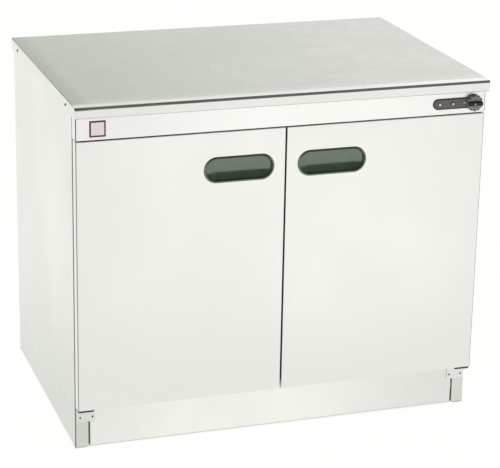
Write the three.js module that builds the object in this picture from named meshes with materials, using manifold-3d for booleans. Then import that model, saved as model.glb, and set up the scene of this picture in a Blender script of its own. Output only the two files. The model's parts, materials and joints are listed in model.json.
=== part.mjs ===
// Food holding cabinet: a heated, two-door, floor-standing steel cupboard with a plain worktop.
// Millimetres, +Z up. X runs along the front, the doors face -Y, and the origin is the
// centre of the cabinet's bounding box at floor level.

import * as THREE from 'three';
import { mergeVertices } from 'three/addons/utils/BufferGeometryUtils.js';
import Module from 'manifold-3d';

const wasm = await Module();
wasm.setup();

// ---------------------------------------------------------------- driving dimensions

const HEIGHT = 900; // floor to worktop
const BODY_WIDTH = 1060; // over the side panels
const BODY_DEPTH = 720; // door face to back panel
const SHEET = 1.5; // all folded steel
const GAP = 0.3; // between touching pieces
const ROUND = 24; // sides of a round piece

const SIDE_X = BODY_WIDTH / 2;
const FACE_Y = -BODY_DEPTH / 2; // front of doors and fascia
const BACK_Y = BODY_DEPTH / 2;

const WORKTOP = { sideLip: 5, frontLip: 14, rearLip: 4, thick: 29 };
const DOOR = { thick: 28, bottom: 115, top: 811, centreGap: 4 };
const FASCIA = { bottom: 813, top: HEIGHT - WORKTOP.thick - GAP };
const CARCASS_Y = FACE_Y + DOOR.thick + 6; // front of posts, plinth and rails
const POST = { width: 33, rearWidth: 25, bottom: 3 };
const PLINTH = { top: 104.5, slot: 5, lip: 20 };
const WALL = 30; // space between casing and liner
const CAVITY = { halfWidth: SIDE_X - POST.width, floor: 126, roof: 801.8, back: BACK_Y - WALL - SHEET / 2 };
const HEADER = { bottom: 800, top: 868, lip: 26 };
const BACK_PANEL = { bottom: 34, top: 869, lip: 20 };
const FOOT = { size: 31, height: 2.7, plug: 25, plugTop: 33 };

const PIVOT = { fromSide: 12, fromFace: 14, pinRadius: 4, boreRadius: 4.3, headRadius: 6, headThick: 3 };
const BRACKET = {
  width: 48,
  edge: 3,
  thick: 2,
  ledge: 3,
  ledgeWidth: 36,
  bottom: 72,
  ledgeTop: 110,
  upperTop: 846,
};
const PAD = { width: 40, thick: 4.4 };
const BUSH = { radius: 7, length: 12, flangeRadius: 9 };

const CUP = { width: 182, height: 67, fromCentre: 121, centreZ: 715, rim: 1.5, lip: 4, wall: 2, depth: 17 };
const CATCH = { inner: 16, outer: 60, bottom: 783.5, top: 799.7, depth: 22, strike: 1.2 };
const CONTROL = { z: 841, knobX: 497, lampX: [404, 440], bezelLeft: 387, bezelHeight: 28, bezelThick: 3 };
const KNOB = { radius: 21.5, flutes: 12, fluteDepth: 1.4, skirt: 11, grip: 9, gripLength: 35, gripWidth: 10 };
const SPINDLE = { radius: 3, hole: 5 };
const LAMP = { barrel: 3.6, hole: 4.2, lens: 4.4, flange: 5.6 };
const BADGE = { size: 40, x: -476, z: 841, thick: 1 };

const SHELF = { z: 455, lip: 18, inset: 8, front: 40 };
const RAIL = { width: 20, thick: 2, shorter: 6 };
const ELEMENT = { z: 150, radius: 4, legs: [-330, -110, 110, 330], front: -160, bendFromBack: 150, end: 10 };
const COVER = { z: 170, halfWidth: 470, front: -290, rear: 300 };
const REST = { depth: 14, fromEdge: 20, leg: 20 }; // bar under the element, with legs up to the cover
const FRONT_REACH = 2 * GAP + CONTROL.bezelThick + KNOB.skirt + KNOB.grip; // of the knob, from the door face
const GLAND = { x: 400, z: 840, boreRadius: 5.5, wall: 2, inside: 14, nutRadius: 13, nut: 8 };
const DOME = { radius: 10, end: 20 };
const THERMOSTAT = { left: 450, right: 514, below: 16, above: 17, fromFace: 7, fromCarcass: 5 };
const PROBE = { x: 462, bendY: 250, z: 812, bulbZ: 790, bulbRadius: 3, bulbLength: 90, tubeRadius: 1 };
const TERMINALS = { halfWidth: 30, front: 270, rear: 300, height: 22 };
const CURVE_STEPS = 10; // straight sides along each round end of an outline

// ---------------------------------------------------------------- materials

function material(hex, roughness, metalness) {
  return new THREE.MeshStandardMaterial({ color: hex, roughness, metalness });
}

const STEEL = material(0xe8e9e3, 0.38, 0.85);
const TOP_STEEL = material(0xc4cabf, 0.3, 0.9);
const LINER_STEEL = material(0xc9cbc7, 0.42, 0.85);
const ZINC = material(0xb9bcb8, 0.4, 0.8);
const GREEN_PLASTIC = material(0x3f4a3e, 0.4, 0);
const BLACK_PLASTIC = material(0x4a4948, 0.5, 0);
const GREY_NYLON = material(0xd5d6d0, 0.6, 0);
const DARK_NYLON = material(0x33352f, 0.55, 0);
const MINERAL_WOOL = material(0xcfc39a, 0.95, 0);
const ELEMENT_SHEATH = material(0x5d574f, 0.5, 0.7);
const CLEAR_LENS = material(0xf2f2ee, 0.15, 0);
const RED_LENS = material(0xb5544c, 0.2, 0);
const BADGE_FACE = material(0xe9dcdb, 0.35, 0.2);
const CERAMIC = material(0xe2ddd0, 0.5, 0);

// ---------------------------------------------------------------- solids and placing

const X = new THREE.Vector3(1, 0, 0);
const Y = new THREE.Vector3(0, 1, 0);
const Z = new THREE.Vector3(0, 0, 1);
const ALONG_X = new THREE.Matrix4().makeBasis(Y, Z, X); // profile in YZ, length towards +X
const TOWARDS_FRONT = new THREE.Matrix4().makeBasis(X, Z, Y.clone().negate()); // outline in XZ

function solid(geometry) {
  const bare = geometry.clone();
  bare.deleteAttribute('normal');
  bare.deleteAttribute('uv');
  const merged = mergeVertices(bare, 1e-4);
  const index = Array.from(merged.index.array);
  const faces = [];
  for (let i = 0; i < index.length; i += 3) {
    const [a, b, c] = index.slice(i, i + 3);
    if (a !== b && b !== c && a !== c) faces.push(a, b, c);
  }
  const mesh = new wasm.Mesh({
    numProp: 3,
    vertProperties: new Float32Array(merged.attributes.position.array),
    triVerts: new Uint32Array(faces),
  });
  return new wasm.Manifold(mesh);
}

function surface(manifold) {
  const mesh = manifold.getMesh();
  const geometry = new THREE.BufferGeometry();
  geometry.setAttribute('position', new THREE.BufferAttribute(new Float32Array(mesh.vertProperties), 3));
  geometry.setIndex(new THREE.BufferAttribute(new Uint32Array(mesh.triVerts), 1));
  geometry.computeVertexNormals();
  return geometry;
}

function cut(body, ...tools) {
  return surface(tools.reduce((rest, tool) => rest.subtract(solid(tool)), solid(body)));
}

function join(...bodies) {
  return surface(bodies.map(solid).reduce((whole, next) => whole.add(next)));
}

function piece(name, finish, geometry, x = 0, y = 0, z = 0) {
  const mesh = new THREE.Mesh(geometry, finish);
  mesh.name = name;
  mesh.position.set(x, y, z);
  return mesh;
}

// A box between two corners, in whichever order its limits come.
function block([x0, x1], [y0, y1], [z0, z1]) {
  const box = new THREE.BoxGeometry(Math.abs(x1 - x0), Math.abs(y1 - y0), Math.abs(z1 - z0));
  return box.translate((x0 + x1) / 2, (y0 + y1) / 2, (z0 + z1) / 2);
}

function outline(points) {
  return new THREE.Shape(points.map(([a, b]) => new THREE.Vector2(a, b)));
}

// A folded sheet with the same YZ profile all along X, centred on x = 0.
function foldedAlongX(profile, length) {
  const bar = new THREE.ExtrudeGeometry(outline(profile), { depth: length, bevelEnabled: false });
  return bar.translate(0, 0, -length / 2).applyMatrix4(ALONG_X);
}

// A level bar with half-round ends.
function stadium(width, height) {
  const r = height / 2;
  const straight = width / 2 - r;
  const shape = new THREE.Shape();
  shape.absarc(straight, 0, r, -Math.PI / 2, Math.PI / 2);
  shape.absarc(-straight, 0, r, Math.PI / 2, 1.5 * Math.PI);
  return shape;
}

// An XZ outline made solid from y = 0 towards the front.
function raised(shape, depth) {
  const bar = new THREE.ExtrudeGeometry(shape, { depth, bevelEnabled: false, curveSegments: CURVE_STEPS });
  return bar.applyMatrix4(TOWARDS_FRONT);
}

// A round bar on the Z axis, from z0 to z1.
function post(radius, z0, z1, sides = ROUND) {
  const bar = new THREE.CylinderGeometry(radius, radius, z1 - z0, sides);
  return bar.rotateX(Math.PI / 2).translate(0, 0, (z0 + z1) / 2);
}

// A round bar on the Y axis, from y0 to y1.
function rod(radius, y0, y1, sides = ROUND) {
  const bar = new THREE.CylinderGeometry(radius, radius, y1 - y0, sides);
  return bar.translate(0, (y0 + y1) / 2, 0);
}

function sideName(side) {
  return side < 0 ? 'left' : 'right';
}

// ---------------------------------------------------------------- casing

function sidePanel(side) {
  const x = (inset) => side * (SIDE_X - inset);
  const front = CARCASS_Y;
  const plan = outline([
    [x(0), front],
    [x(POST.width), front],
    [x(POST.width), front + SHEET],
    [x(SHEET), front + SHEET],
    [x(SHEET), BACK_Y - SHEET],
    [x(POST.rearWidth), BACK_Y - SHEET],
    [x(POST.rearWidth), BACK_Y],
    [x(0), BACK_Y],
  ]);
  const top = HEIGHT - SHEET - GAP;
  const panel = new THREE.ExtrudeGeometry(plan, { depth: top - POST.bottom, bevelEnabled: false });
  return piece(`side_panel_${sideName(side)}`, STEEL, panel, 0, 0, POST.bottom);
}

function channelProfile(y0, y1, z0, z1) {
  const inner = y0 + Math.sign(y1 - y0) * SHEET;
  return [
    [y0, z0],
    [y1, z0],
    [y1, z0 + SHEET],
    [inner, z0 + SHEET],
    [inner, z1 - SHEET],
    [y1, z1 - SHEET],
    [y1, z1],
    [y0, z1],
  ];
}

function backPanel() {
  const profile = channelProfile(BACK_Y, BACK_Y - BACK_PANEL.lip, BACK_PANEL.bottom, BACK_PANEL.top);
  const sheet = foldedAlongX(profile, 2 * (SIDE_X - POST.rearWidth - GAP));
  const outletRadius = GLAND.boreRadius + GLAND.wall + GAP;
  const outlet = rod(outletRadius, BACK_Y - 2 * SHEET, BACK_Y + 1).translate(GLAND.x, 0, GLAND.z);
  return piece('back_panel', STEEL, cut(sheet, outlet));
}

function plinthPanel() {
  const profile = channelProfile(CARCASS_Y, CARCASS_Y + PLINTH.lip, POST.bottom, PLINTH.top - GAP);
  return piece('plinth_panel', STEEL, foldedAlongX(profile, 2 * (CAVITY.halfWidth - PLINTH.slot)));
}

function headerRail() {
  const inner = CARCASS_Y + SHEET;
  const profile = [
    [CARCASS_Y, HEADER.bottom],
    [CARCASS_Y + HEADER.lip, HEADER.bottom],
    [CARCASS_Y + HEADER.lip, HEADER.bottom + SHEET],
    [inner, HEADER.bottom + SHEET],
    [inner, HEADER.top],
    [CARCASS_Y, HEADER.top],
  ];
  const rail = foldedAlongX(profile, 2 * (CAVITY.halfWidth - GAP));
  const probeHole = rod(4, CARCASS_Y - 1, inner + 1).translate(PROBE.x, 0, CONTROL.z);
  return piece('header_rail', STEEL, cut(rail, probeHole));
}

function worktop() {
  const x = SIDE_X + WORKTOP.sideLip;
  const front = FACE_Y - WORKTOP.frontLip;
  const rear = BACK_Y + WORKTOP.rearLip;
  const bottom = HEIGHT - WORKTOP.thick;
  const outer = block([-x, x], [front, rear], [bottom, HEIGHT]);
  const hollow = block([-x + SHEET, x - SHEET], [front + SHEET, rear - SHEET], [bottom - 1, HEIGHT - SHEET]);
  return piece('worktop', TOP_STEEL, cut(outer, hollow));
}

function fasciaPanel() {
  const outer = block([-SIDE_X, SIDE_X], [FACE_Y, CARCASS_Y - GAP], [FASCIA.bottom, FASCIA.top]);
  const hollow = block(
    [-SIDE_X + SHEET, SIDE_X - SHEET],
    [FACE_Y + SHEET, CARCASS_Y + 1],
    [FASCIA.bottom + SHEET, FASCIA.top + 1],
  );
  const pinHoles = [-1, 1].map((side) =>
    post(BUSH.radius, FASCIA.bottom - 1, FASCIA.bottom + SHEET + 1).translate(pivotX(side), PIVOT_Y, 0),
  );
  const holes = [
    ...CONTROL.lampX.map((x) => [x, LAMP.hole]),
    [CONTROL.knobX, SPINDLE.hole],
  ].map(([x, radius]) => rod(radius, FACE_Y - 1, FACE_Y + SHEET + 1).translate(x, 0, CONTROL.z));
  return piece('fascia_panel', STEEL, cut(outer, hollow, ...pinHoles, ...holes));
}

function badgePlate() {
  const front = FACE_Y - GAP - BADGE.thick;
  const half = BADGE.size / 2;
  const plate = block([-half, half], [0, BADGE.thick], [-half, half]);
  return piece('badge_plate', BADGE_FACE, plate, BADGE.x, front, BADGE.z);
}

function foot(side, rear) {
  const name = `foot_${rear ? 'rear' : 'front'}_${sideName(side)}`;
  const inwards = rear ? -1 : 1;
  const corner = rear ? BACK_Y : CARCASS_Y;
  const inside = SHEET + GAP;
  const pad = block([0, -side * FOOT.size], [0, inwards * FOOT.size], [0, FOOT.height]);
  const plug = block(
    [-side * inside, -side * (inside + FOOT.plug)],
    [inwards * inside, inwards * (inside + FOOT.plug)],
    [FOOT.height - 1, FOOT.plugTop],
  );
  return piece(name, GREY_NYLON, join(pad, plug), side * SIDE_X, corner, 0);
}

function casing() {
  const group = new THREE.Group();
  group.add(backPanel(), plinthPanel(), headerRail(), worktop(), fasciaPanel(), badgePlate());
  for (const side of [-1, 1]) {
    group.add(sidePanel(side), foot(side, false), foot(side, true));
  }
  return group;
}

// ---------------------------------------------------------------- heated cavity

const LINER_TOP = CAVITY.roof + SHEET;
const LINER_FRONT = CARCASS_Y + SHEET + GAP;

function liners() {
  const x = CAVITY.halfWidth;
  const inner = x - GAP;
  const floorUnder = CAVITY.floor - SHEET;
  const rear = CAVITY.back;
  const group = new THREE.Group();
  for (const side of [-1, 1]) {
    const wall = block([side * x, side * (x + SHEET)], [LINER_FRONT, rear + SHEET], [floorUnder, LINER_TOP]);
    group.add(piece(`cavity_liner_${sideName(side)}`, LINER_STEEL, wall));
    const slab = block(
      [side * (x + SHEET + GAP), side * (SIDE_X - SHEET - GAP)],
      [LINER_FRONT, BACK_Y - SHEET - GAP],
      [floorUnder, LINER_TOP],
    );
    group.add(piece(`insulation_${sideName(side)}`, MINERAL_WOOL, slab));
  }
  const elementHoles = [ELEMENT.legs[0], ELEMENT.legs.at(-1)].map((legX) =>
    rod(ELEMENT.radius + 2, rear - 1, rear + SHEET + 1).translate(legX, 0, ELEMENT.z),
  );
  const back = block([-inner, inner], [rear, rear + SHEET], [CAVITY.floor + GAP, LINER_TOP]);
  group.add(piece('cavity_liner_back', LINER_STEEL, cut(back, ...elementHoles)));

  const roof = block([-inner, inner], [LINER_FRONT, rear - GAP], [CAVITY.roof, LINER_TOP]);
  const probeHole = post(5, CAVITY.roof - 1, LINER_TOP + 1).translate(PROBE.x, PROBE.bendY, 0);
  group.add(piece('cavity_roof', LINER_STEEL, cut(roof, probeHole)));

  const floor = foldedAlongX([
    [CARCASS_Y, PLINTH.top],
    [CARCASS_Y + SHEET, PLINTH.top],
    [CARCASS_Y + SHEET, floorUnder],
    [rear - GAP, floorUnder],
    [rear - GAP, CAVITY.floor],
    [CARCASS_Y, CAVITY.floor],
  ], 2 * inner);
  group.add(piece('cavity_floor', LINER_STEEL, floor));
  return group;
}

function shelf() {
  const x = CAVITY.halfWidth - SHELF.inset;
  const front = CARCASS_Y + SHELF.front;
  const rear = CAVITY.back - SHELF.inset;
  const profile = [
    [front, SHELF.z - SHELF.lip],
    [front + SHEET, SHELF.z - SHELF.lip],
    [front + SHEET, SHELF.z - SHEET],
    [rear - SHEET, SHELF.z - SHEET],
    [rear - SHEET, SHELF.z - SHELF.lip],
    [rear, SHELF.z - SHELF.lip],
    [rear, SHELF.z],
    [front, SHELF.z],
  ];
  const group = new THREE.Group();
  group.add(piece('shelf', LINER_STEEL, foldedAlongX(profile, 2 * x)));
  for (const side of [-1, 1]) {
    const top = SHELF.z - SHEET - GAP;
    const wall = CAVITY.halfWidth - GAP;
    const section = outline([
      [side * wall, top - RAIL.width],
      [side * wall, top],
      [side * (wall - RAIL.width), top],
      [side * (wall - RAIL.width), top - RAIL.thick],
      [side * (wall - RAIL.thick), top - RAIL.thick],
      [side * (wall - RAIL.thick), top - RAIL.width],
    ]);
    const railFront = front + SHEET + RAIL.shorter;
    const railRear = rear - SHEET - RAIL.shorter;
    const rail = raised(section, railRear - railFront);
    group.add(piece(`shelf_rail_${sideName(side)}`, LINER_STEEL, rail, 0, railRear, 0));
  }
  return group;
}

// Half a turn in the XY plane about (x, y), bulging forwards in Y or back.
class HalfRound extends THREE.Curve {
  constructor(x, y, radius, forwards) {
    super();
    Object.assign(this, { x, y, radius, forwards });
  }
  getPoint(t, target = new THREE.Vector3()) {
    const angle = Math.PI * (1 - t);
    const across = this.x + this.radius * Math.cos(angle);
    return target.set(across, this.y + this.forwards * this.radius * Math.sin(angle), 0);
  }
}

// The sheathed element: four legs joined by three half-round bends, both ends through the rear liner.
function elementPath() {
  const path = new THREE.CurvePath();
  const end = BACK_Y - ELEMENT.end;
  const rearBend = CAVITY.back - ELEMENT.bendFromBack;
  const bend = (ELEMENT.legs[1] - ELEMENT.legs[0]) / 2;
  const corners = [
    [ELEMENT.legs[0], end, ELEMENT.front],
    [ELEMENT.legs[1], ELEMENT.front, rearBend],
    [ELEMENT.legs[2], rearBend, ELEMENT.front],
    [ELEMENT.legs[3], ELEMENT.front, end],
  ];
  corners.forEach(([x, from, to], i) => {
    path.add(new THREE.LineCurve3(new THREE.Vector3(x, from, 0), new THREE.Vector3(x, to, 0)));
    if (i === corners.length - 1) return;
    const forwards = to < from ? -1 : 1;
    path.add(new HalfRound(x + bend, to, bend, forwards));
  });
  return path;
}

function circle(radius, sides) {
  const ring = Array.from({ length: sides }, (_, i) => (2 * Math.PI * i) / sides);
  return outline(ring.map((angle) => [radius * Math.cos(angle), radius * Math.sin(angle)]));
}

function heating() {
  const element = new THREE.ExtrudeGeometry(circle(ELEMENT.radius, 8), {
    extrudePath: elementPath(),
    steps: 90,
    bevelEnabled: false,
  });
  const under = ELEMENT.z - ELEMENT.radius - 1;
  const group = new THREE.Group();
  group.add(piece('heating_element', ELEMENT_SHEATH, element, 0, 0, ELEMENT.z));
  const restX = COVER.halfWidth - REST.fromEdge;
  const bar = block([-restX, restX], [0, REST.depth], [CAVITY.floor + GAP, under]);
  const legs = [-1, 1].map((side) =>
    block([side * restX, side * (restX - REST.leg)], [0, REST.depth], [under - 1, COVER.z - GAP]),
  );
  const rest = join(bar, ...legs);
  group.add(piece('element_rest', LINER_STEEL, rest));
  const halfX = COVER.halfWidth;
  const cover = block([-halfX, halfX], [COVER.front, COVER.rear], [COVER.z, COVER.z + SHEET]);
  group.add(piece('element_cover', LINER_STEEL, cover));
  return group;
}

// ---------------------------------------------------------------- controls and supply

function scallopedDisc() {
  const count = KNOB.flutes * 8;
  const points = Array.from({ length: count }, (_, i) => {
    const angle = (2 * Math.PI * i) / count;
    const radius = KNOB.radius - (KNOB.fluteDepth / 2) * (1 - Math.cos(KNOB.flutes * angle));
    return [radius * Math.cos(angle), radius * Math.sin(angle)];
  });
  return outline(points);
}

function knobAndSpindle() {
  const group = new THREE.Group();
  group.position.set(CONTROL.knobX, FACE_Y - GAP - CONTROL.bezelThick - GAP, CONTROL.z);
  const skirt = raised(scallopedDisc(), KNOB.skirt);
  const grip = block(
    [-KNOB.gripLength / 2, KNOB.gripLength / 2],
    [-KNOB.skirt + 1, -KNOB.skirt - KNOB.grip],
    [-KNOB.gripWidth / 2, KNOB.gripWidth / 2],
  );
  const socket = rod(SPINDLE.radius + GAP, -KNOB.skirt + 3, 1);
  group.add(piece('control_knob', BLACK_PLASTIC, cut(join(skirt, grip), socket)));
  group.add(piece('control_spindle', ZINC, rod(SPINDLE.radius, -KNOB.skirt + 3 + GAP, 9)));
  return group;
}

function bezel() {
  const right = CONTROL.knobX + CONTROL.bezelHeight / 2;
  const width = right - CONTROL.bezelLeft;
  const middle = (right + CONTROL.bezelLeft) / 2;
  const plate = raised(stadium(width, CONTROL.bezelHeight), CONTROL.bezelThick);
  const holes = [
    ...CONTROL.lampX.map((x) => [x, LAMP.hole]),
    [CONTROL.knobX, SPINDLE.hole],
  ].map(([x, radius]) => rod(radius, -CONTROL.bezelThick - 1, 1).translate(x - middle, 0, 0));
  return piece('control_bezel', BLACK_PLASTIC, cut(plate, ...holes), middle, FACE_Y - GAP, CONTROL.z);
}

// Lens, flange and barrel turned about the lamp's axis, which points to the front.
function lamp(name, finish, x) {
  const profile = [
    [0, -12],
    [LAMP.barrel, -12],
    [LAMP.barrel, 0],
    [LAMP.flange, 0],
    [LAMP.flange, 1],
    [LAMP.lens, 1.6],
    [LAMP.lens * 0.7, 3.2],
    [0, 4],
  ].map(([radius, along]) => new THREE.Vector2(radius, along));
  const turned = new THREE.LatheGeometry(profile, 20).rotateX(Math.PI);
  const front = FACE_Y - GAP - CONTROL.bezelThick - GAP;
  return piece(name, finish, surface(solid(turned)), x, front, CONTROL.z);
}

// A thin capillary over the roof, then down through it to a bulb that lies across the cavity.
function thermostatProbe(thermostatBack) {
  const bulbY = PROBE.bendY + 20;
  const route = [
    [0, thermostatBack, CONTROL.z],
    [0, CARCASS_Y + 12, CONTROL.z],
    [0, CARCASS_Y + 90, PROBE.z + 8],
    [0, -40, PROBE.z],
    [0, PROBE.bendY - 70, PROBE.z + 4],
    [0, PROBE.bendY - 8, PROBE.z + 2],
    [0, PROBE.bendY, LINER_TOP - 6],
    [-4, PROBE.bendY + 8, PROBE.bulbZ + 1],
    [-20, bulbY, PROBE.bulbZ],
  ].map(([x, y, z]) => new THREE.Vector3(PROBE.x + x, y, z));
  const path = new THREE.CatmullRomCurve3(route, false, 'centripetal');
  const tube = new THREE.ExtrudeGeometry(circle(PROBE.tubeRadius, 8), {
    extrudePath: path,
    steps: 60,
    bevelEnabled: false,
  });
  const bulb = new THREE.CylinderGeometry(PROBE.bulbRadius, PROBE.bulbRadius, PROBE.bulbLength, 16);
  bulb.rotateZ(Math.PI / 2);
  bulb.translate(PROBE.x - 17 - PROBE.bulbLength / 2, bulbY, PROBE.bulbZ);
  return piece('thermostat_probe', ZINC, join(tube, bulb));
}

function controls() {
  const group = new THREE.Group();
  const bodyBack = CARCASS_Y - THERMOSTAT.fromCarcass;
  const body = block(
    [THERMOSTAT.left, THERMOSTAT.right],
    [FACE_Y + THERMOSTAT.fromFace, bodyBack],
    [CONTROL.z - THERMOSTAT.below, CONTROL.z + THERMOSTAT.above],
  );
  group.add(knobAndSpindle(), bezel());
  group.add(lamp('lamp_power', CLEAR_LENS, CONTROL.lampX[0]));
  group.add(lamp('lamp_heat', RED_LENS, CONTROL.lampX[1]));
  group.add(piece('thermostat_body', CERAMIC, body));
  group.add(thermostatProbe(bodyBack + GAP));
  const terminals = block(
    [GLAND.x - TERMINALS.halfWidth, GLAND.x + TERMINALS.halfWidth],
    [TERMINALS.front, TERMINALS.rear],
    [LINER_TOP + GAP, LINER_TOP + TERMINALS.height],
  );
  group.add(piece('terminal_block', CERAMIC, terminals));
  return group;
}

// A threaded gland: its body goes through the back panel, with a hexagon and a dome nut outside.
function cableGland() {
  const thread = GLAND.boreRadius + GLAND.wall;
  const profile = [
    [GLAND.boreRadius, -GLAND.inside],
    [thread, -GLAND.inside],
    [thread, GAP],
    [GLAND.nutRadius, GAP],
    [GLAND.nutRadius, GLAND.nut],
    [DOME.radius, GLAND.nut + 2],
    [DOME.radius, DOME.end],
    [thread, FRONT_REACH],
    [GLAND.boreRadius, FRONT_REACH],
    [GLAND.boreRadius, -GLAND.inside],
  ].map(([radius, along]) => new THREE.Vector2(radius, along));
  const turned = new THREE.LatheGeometry(profile, ROUND);
  return piece('cable_gland', DARK_NYLON, surface(solid(turned)), GLAND.x, BACK_Y, GLAND.z);
}

// ---------------------------------------------------------------- hinges

const PIVOT_Y = FACE_Y + PIVOT.fromFace;

function pivotX(side) {
  return side * (SIDE_X - PIVOT.fromSide);
}

function angleBracket(side, plateZ, ledgeZ) {
  const rear = CARCASS_Y - GAP;
  const outer = side * (SIDE_X - BRACKET.edge);
  const plate = block([outer, outer - side * BRACKET.width], [rear - BRACKET.thick, rear], plateZ);
  const ledge = block([outer, outer - side * BRACKET.ledgeWidth], [FACE_Y + 3, rear], ledgeZ);
  const hole = post(PIVOT.boreRadius, ledgeZ[0] - 1, ledgeZ[1] + 1).translate(pivotX(side), PIVOT_Y, 0);
  return surface(solid(plate).add(solid(ledge)).subtract(solid(hole)));
}

function pin(headZ, shankZ) {
  return join(post(PIVOT.headRadius, ...headZ), post(PIVOT.pinRadius, ...shankZ));
}

function bush(z0, z1, flangeZ0, flangeZ1) {
  const sleeve = post(BUSH.radius, z0, z1);
  const flange = post(BUSH.flangeRadius, flangeZ0, flangeZ1);
  return cut(join(sleeve, flange), post(PIVOT.boreRadius, z0 - 3, z1 + 3));
}

function hinge(side) {
  const group = new THREE.Group();
  const tag = sideName(side);
  const at = [pivotX(side), PIVOT_Y, 0];

  const lowLedge = [BRACKET.ledgeTop - BRACKET.ledge, BRACKET.ledgeTop];
  const lowPlate = [BRACKET.bottom, BRACKET.ledgeTop];
  group.add(piece(`hinge_bracket_lower_${tag}`, STEEL, angleBracket(side, lowPlate, lowLedge)));
  const lowHead = [lowLedge[0] - GAP - PIVOT.headThick, lowLedge[0] - GAP];
  const bushTop = DOOR.bottom + BUSH.length;
  group.add(piece(`hinge_pin_lower_${tag}`, ZINC, pin(lowHead, [lowLedge[0] - 1, bushTop]), ...at));
  group.add(piece(`hinge_bush_lower_${tag}`, DARK_NYLON, plainBush(DOOR.bottom, bushTop), ...at));

  const outer = side * (SIDE_X - 1);
  const pad = block(
    [outer, outer - side * PAD.width],
    [FACE_Y + 2, CARCASS_Y - 6],
    [BRACKET.ledgeTop + GAP, BRACKET.ledgeTop + GAP + PAD.thick - GAP],
  );
  const padHole = post(PIVOT.boreRadius, BRACKET.ledgeTop, DOOR.bottom).translate(...at);
  group.add(piece(`hinge_pad_${tag}`, DARK_NYLON, cut(pad, padHole)));

  const highLedge = [FASCIA.bottom + SHEET + GAP, FASCIA.bottom + SHEET + GAP + BRACKET.ledge];
  const highPlate = [highLedge[0], BRACKET.upperTop];
  group.add(piece(`hinge_bracket_upper_${tag}`, ZINC, angleBracket(side, highPlate, highLedge)));
  const highHead = [highLedge[1] + GAP, highLedge[1] + GAP + PIVOT.headThick];
  const bushBottom = DOOR.top - BUSH.length;
  group.add(piece(`hinge_pin_upper_${tag}`, ZINC, pin(highHead, [bushBottom, highLedge[1] + 1]), ...at));
  const flange = [DOOR.top + GAP, FASCIA.bottom - GAP];
  const highBush = bush(bushBottom, flange[1], ...flange);
  group.add(piece(`hinge_bush_upper_${tag}`, DARK_NYLON, highBush, ...at));
  return group;
}

function plainBush(z0, z1) {
  return cut(post(BUSH.radius, z0, z1), post(PIVOT.boreRadius, z0 - 1, z1 + 1));
}

// ---------------------------------------------------------------- doors

function cupOutline(grow = 0) {
  return stadium(CUP.width + 2 * grow, CUP.height + 2 * grow);
}

// Rim on the door's face, and a bowl behind it that the fingers reach into.
function handleCup() {
  const rim = raised(cupOutline(), CUP.rim);
  const rear = CUP.depth + CUP.wall;
  const bowl = raised(cupOutline(-CUP.lip), rear + CUP.rim / 2).translate(0, rear, 0);
  const recess = raised(cupOutline(-CUP.lip - CUP.wall), rear + CUP.rim).translate(0, CUP.depth, 0);
  return cut(join(rim, bowl), recess);
}

function door(side) {
  const group = new THREE.Group();
  const tag = sideName(side);
  const outer = side * SIDE_X;
  const inner = side * (DOOR.centreGap / 2);
  const rear = FACE_Y + DOOR.thick;
  const shrink = (amount) => [outer - side * amount, inner + side * amount];
  const heights = (amount) => [DOOR.bottom + amount, DOOR.top - amount];
  const cupAt = [side * CUP.fromCentre, CUP.centreZ];

  const shell = block([outer, inner], [FACE_Y, rear], heights(0));
  const hollow = block(shrink(SHEET), [FACE_Y + SHEET, rear + 1], heights(SHEET));
  const cupHole = raised(cupOutline(GAP - CUP.lip), 10).translate(cupAt[0], FACE_Y + 5, cupAt[1]);
  const bushHoles = [DOOR.bottom, DOOR.top].map((z) =>
    post(BUSH.radius + GAP, z - 3, z + 3).translate(pivotX(side), PIVOT_Y, 0),
  );
  group.add(piece(`door_skin_${tag}`, STEEL, cut(shell, hollow, cupHole, ...bushHoles)));

  const pan = block(shrink(SHEET + GAP), [rear - SHEET, rear], heights(SHEET + GAP));
  group.add(piece(`door_liner_${tag}`, LINER_STEEL, pan));

  const slab = block(shrink(30), [FACE_Y + SHEET + GAP, rear - SHEET - GAP], heights(30));
  const pocket = raised(cupOutline(), 60).translate(cupAt[0], FACE_Y + 40, cupAt[1]);
  group.add(piece(`door_insulation_${tag}`, MINERAL_WOOL, cut(slab, pocket)));

  group.add(piece(`handle_cup_${tag}`, GREEN_PLASTIC, handleCup(), cupAt[0], FACE_Y - GAP, cupAt[1]));

  const strike = block(
    [side * CATCH.inner, side * CATCH.outer],
    [rear + GAP, rear + GAP + CATCH.strike],
    [CATCH.bottom, CATCH.top],
  );
  group.add(piece(`strike_plate_${tag}`, ZINC, strike));
  return group;
}

function magneticCatch(side) {
  const front = FACE_Y + DOOR.thick + 2 * GAP + CATCH.strike;
  const body = block(
    [side * CATCH.inner, side * CATCH.outer],
    [front, front + CATCH.depth],
    [CATCH.bottom, CATCH.top],
  );
  return piece(`magnetic_catch_${sideName(side)}`, DARK_NYLON, body);
}

// ---------------------------------------------------------------- assembly

const cabinet = new THREE.Group();
cabinet.add(casing(), liners(), shelf(), heating(), controls(), cableGland());
for (const side of [-1, 1]) {
  cabinet.add(hinge(side), door(side), magneticCatch(side));
}

export default cabinet;
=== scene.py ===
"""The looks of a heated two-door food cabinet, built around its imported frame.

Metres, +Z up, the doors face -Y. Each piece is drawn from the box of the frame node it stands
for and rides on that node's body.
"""

import math

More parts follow.
